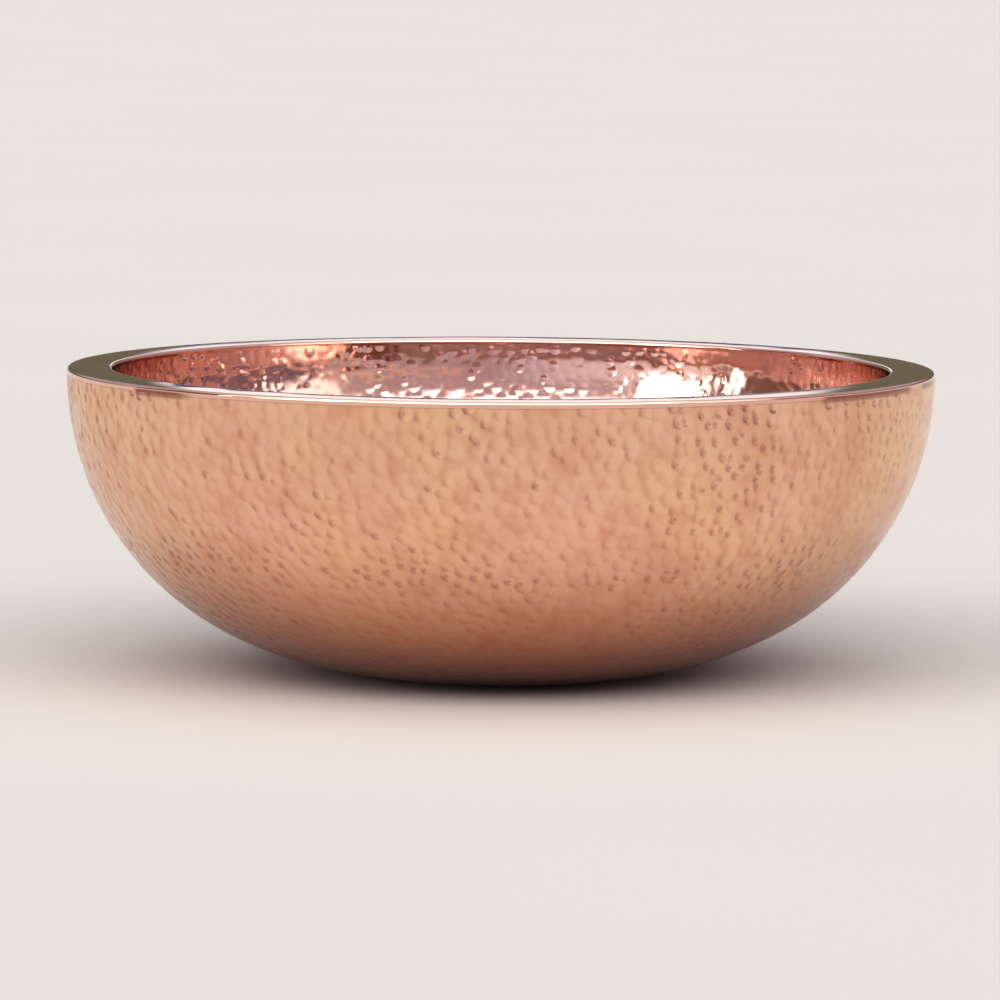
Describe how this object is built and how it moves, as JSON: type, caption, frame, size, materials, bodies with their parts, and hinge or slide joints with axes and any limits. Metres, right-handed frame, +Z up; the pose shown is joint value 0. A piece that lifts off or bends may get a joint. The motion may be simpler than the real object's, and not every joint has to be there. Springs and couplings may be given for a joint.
{
  "type": "hammered copper bowl",
  "caption": "Round double-walled copper bowl with hammered inside and outside walls, joined by a broad flat polished rim; it stands on a small flat base.",
  "frame": {"origin": "middle of the flat underside, on the surface that the bowl stands on", "axes": "+Z up along the bowl's axis; the bowl is round, so +X and +Y are free choices along the level floor"},
  "size_m": [0.4319, 0.432, 0.1524],
  "materials": {
    "hammered_copper": "hand-hammered and polished copper, small overlapping round hammer marks",
    "polished_copper": "smooth polished copper",
    "plain_copper": "dull unpolished copper, heat-toned",
    "brazing_alloy": "matt brazing filler"
  },
  "bodies": {
    "root": {"outer_shell": "hammered_copper", "inner_shell": "hammered_copper", "rim_ring": "polished_copper", "outer_rim_braze": "brazing_alloy", "inner_rim_braze": "brazing_alloy", "spacer_hoop": "plain_copper", "hoop_braze": "brazing_alloy", "vent_plug": "plain_copper"}
  },
  "joints": []
}
